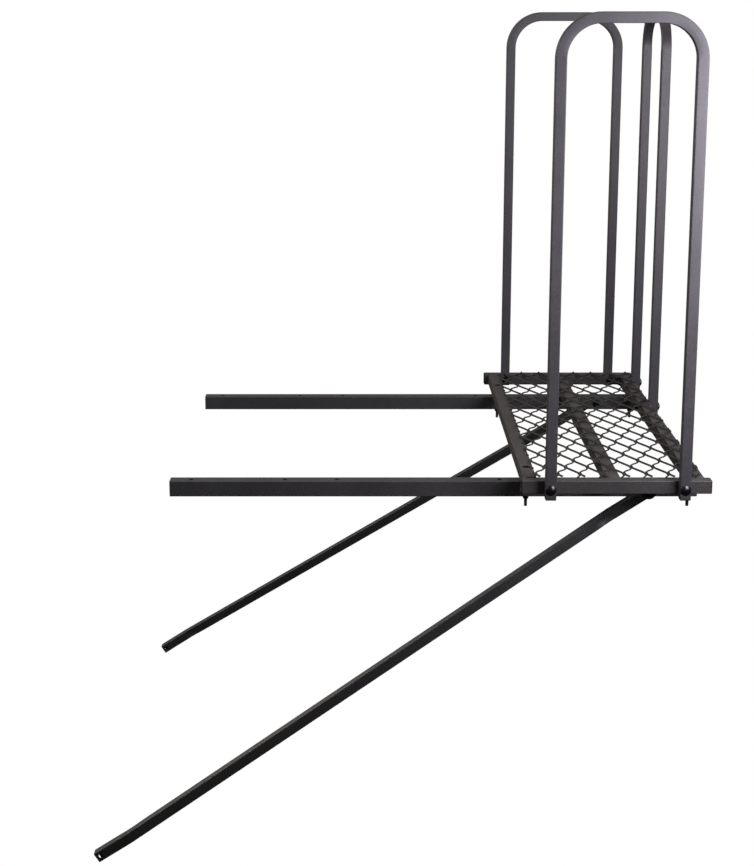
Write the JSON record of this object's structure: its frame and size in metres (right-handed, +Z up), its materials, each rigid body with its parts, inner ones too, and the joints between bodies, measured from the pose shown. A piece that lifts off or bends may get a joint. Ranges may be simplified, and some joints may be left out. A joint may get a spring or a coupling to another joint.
{
  "type": "ladder tree stand deck",
  "caption": "Bolt-on steel landing deck for a ladder or tower tree stand, with expanded mesh, long rails, guard hoops and swinging diagonal braces.",
  "frame": {"origin": "centre of the four outer tower bolt holes, on the rails' top faces", "axes": "+X along the rails from the tower to the deck, +Y across the deck from the near end to the far end, +Z up"},
  "size_m": [1.4838, 1.3638, 1.997],
  "materials": {
    "frame_coat": "powder-coated steel tube, semi-matt warm charcoal",
    "mesh_coat": "powder-coated expanded metal, semi-matt black-brown",
    "rail_coat": "powder-coated steel tube, semi-matt charcoal",
    "hoop_coat": "powder-coated bent steel tube, fine-textured dark grey",
    "brace_coat": "powder-coated bent steel tube, semi-matt near-black",
    "black_bolt": "black-oxide steel, semi-gloss",
    "black_zinc": "black zinc-plated steel, semi-gloss",
    "plug_plastic": "moulded black polyethylene"
  },
  "bodies": {
    "platform": {"near_end_tube": "frame_coat", "far_end_tube": "frame_coat", "left_side_tube": "frame_coat", "centre_tube": "frame_coat", "right_side_tube": "frame_coat", "deck_mesh": "mesh_coat", "near_rail": "rail_coat", "far_rail": "rail_coat", "near_hoop": "hoop_coat", "far_hoop": "hoop_coat", "side_hoop": "hoop_coat", "hoop_bolts": "black_bolt", "hoop_washers": "black_zinc", "hoop_nuts": "black_zinc", "rail_bolts": "black_bolt", "rail_head_washers": "black_zinc", "rail_nut_washers": "black_bolt", "rail_nuts": "black_bolt", "pivot_bolts": "black_bolt", "pivot_head_washers": "black_bolt", "pivot_spacers": "black_zinc", "pivot_nut_washers": "black_zinc", "pivot_nuts": "black_zinc", "end_tube_plugs": "plug_plastic", "rail_plugs": "plug_plastic", "hoop_foot_plugs": "plug_plastic"},
    "near_brace_arm": {"near_brace": "brace_coat"},
    "far_brace_arm": {"far_brace": "brace_coat"}
  },
  "joints": [
    {"name": "near_brace_pivot", "type": "hinge", "parent": "platform", "child": "near_brace_arm", "pos_m": [0.7285, -0.48715, -0.01905], "axis": [0, 1, 0], "range_deg": [-147, 33]},
    {"name": "far_brace_pivot", "type": "hinge", "parent": "platform", "child": "far_brace_arm", "pos_m": [0.7285, 0.48715, -0.01905], "axis": [0, 1, 0], "range_deg": [-147, 33]}
  ]
}
